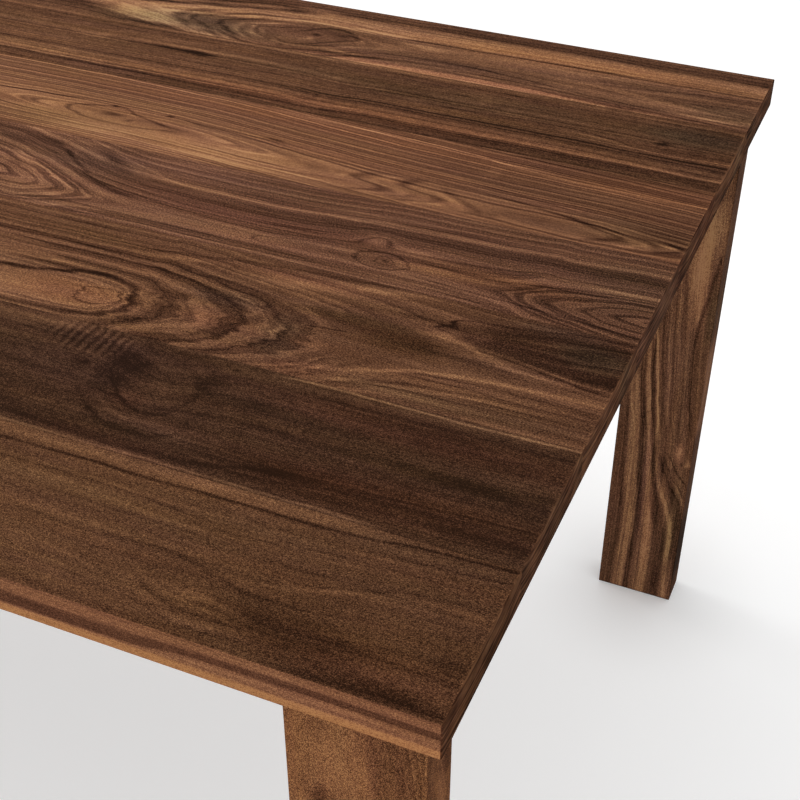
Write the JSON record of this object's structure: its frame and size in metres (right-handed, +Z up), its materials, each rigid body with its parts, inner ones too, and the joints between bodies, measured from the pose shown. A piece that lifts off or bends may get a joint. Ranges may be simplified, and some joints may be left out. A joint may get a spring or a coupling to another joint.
{
  "type": "dining table",
  "caption": "Rectangular walnut dining table with a board top that overhangs four plank legs a little, on a rail frame set back under the top.",
  "frame": {"origin": "on the floor under the middle of the top", "axes": "+X along the boards and the long side, +Y towards the rear long side, +Z up"},
  "size_m": [1.829, 0.988, 0.762],
  "materials": {
    "walnut_top": "oiled walnut, satin",
    "walnut_legs": "oiled walnut, satin",
    "walnut_frame": "oiled walnut, matt",
    "black_steel": "black oxide",
    "zinc_steel": "bright zinc plate",
    "insert_brass": "plain machined",
    "glide_plastic": "moulded brown nylon, matt"
  },
  "bodies": {
    "root": {"top_board_1": "walnut_top", "top_board_2": "walnut_top", "top_board_3": "walnut_top", "top_board_4": "walnut_top", "top_board_5": "walnut_top", "top_board_6": "walnut_top", "top_board_7": "walnut_top", "leg_front_left": "walnut_legs", "leg_front_right": "walnut_legs", "leg_rear_left": "walnut_legs", "leg_rear_right": "walnut_legs", "long_rail_front": "walnut_frame", "long_rail_rear": "walnut_frame", "end_rail_left": "walnut_frame", "end_rail_right": "walnut_frame", "middle_rail_1": "walnut_frame", "middle_rail_2": "walnut_frame", "corner_block_front_left": "walnut_frame", "corner_block_front_right": "walnut_frame", "corner_block_rear_left": "walnut_frame", "corner_block_rear_right": "walnut_frame", "leg_bolts": "black_steel", "leg_washers": "zinc_steel", "leg_inserts": "insert_brass", "top_clips": "zinc_steel", "clip_screws": "zinc_steel", "corner_screws": "zinc_steel", "foot_glides": "glide_plastic", "glide_nails": "zinc_steel"}
  },
  "joints": []
}
